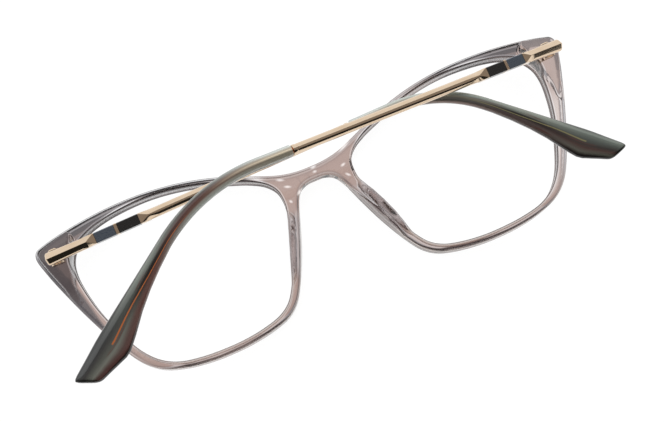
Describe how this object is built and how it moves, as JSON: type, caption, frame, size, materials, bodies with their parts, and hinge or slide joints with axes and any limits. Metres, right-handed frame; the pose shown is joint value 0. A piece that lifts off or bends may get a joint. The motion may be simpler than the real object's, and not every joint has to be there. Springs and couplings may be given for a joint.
{
  "type": "eyeglasses",
  "caption": "Cat-eye eyeglasses with an acetate front, clear lenses and slim metal arms that fold on screw hinges.",
  "frame": {"origin": "middle of the folded glasses' footprint, on the surface that they lie on, front down", "axes": "+X across the front to the wearer's left, +Y towards the wearer's chin, +Z back towards the wearer"},
  "size_m": [0.1382, 0.0466, 0.0501],
  "materials": {
    "front_acetate": "polished, translucent",
    "lens": "clear",
    "hinge_metal": "plated, pale gold",
    "screw_metal": "plated, pale gold",
    "arm_gold": "polished, pale gold",
    "inlay_blue": "smooth enamel, slate blue",
    "inlay_black": "smooth enamel, black",
    "tip_acetate": "polished, marbled grey-green",
    "core_metal": "drawn wire, copper toned"
  },
  "bodies": {
    "front": {"front_frame": "front_acetate", "lens_left": "lens", "lens_right": "lens", "nose_pad_left": "front_acetate", "nose_pad_right": "front_acetate", "front_hinge_left": "hinge_metal", "front_hinge_right": "hinge_metal", "hinge_screw_left": "screw_metal", "hinge_screw_right": "screw_metal"},
    "right_arm": {"temple_hinge_right": "hinge_metal", "temple_rod_right": "arm_gold", "inlay_blue_right": "inlay_blue", "inlay_black_right": "inlay_black", "temple_tip_right": "tip_acetate", "core_wire_right": "core_metal"},
    "left_arm": {"temple_hinge_left": "hinge_metal", "temple_rod_left": "arm_gold", "inlay_blue_left": "inlay_blue", "inlay_black_left": "inlay_black", "temple_tip_left": "tip_acetate", "core_wire_left": "core_metal"}
  },
  "joints": [
    {"name": "right_temple_fold", "type": "hinge", "parent": "front", "child": "right_arm", "pos_m": [-0.0639, -0.01403, 0.0128], "axis": [0, -0.981, 0.1942], "range_deg": [-5, 74]},
    {"name": "left_temple_fold", "type": "hinge", "parent": "front", "child": "left_arm", "pos_m": [0.0639, -0.01403, 0.0128], "axis": [0, 0.981, -0.1942], "range_deg": [-2.5, 87.6]}
  ],
  "couplings": [
    {"joint": "left_temple_fold", "follows": "right_temple_fold", "ratio": 0.45}
  ]
}
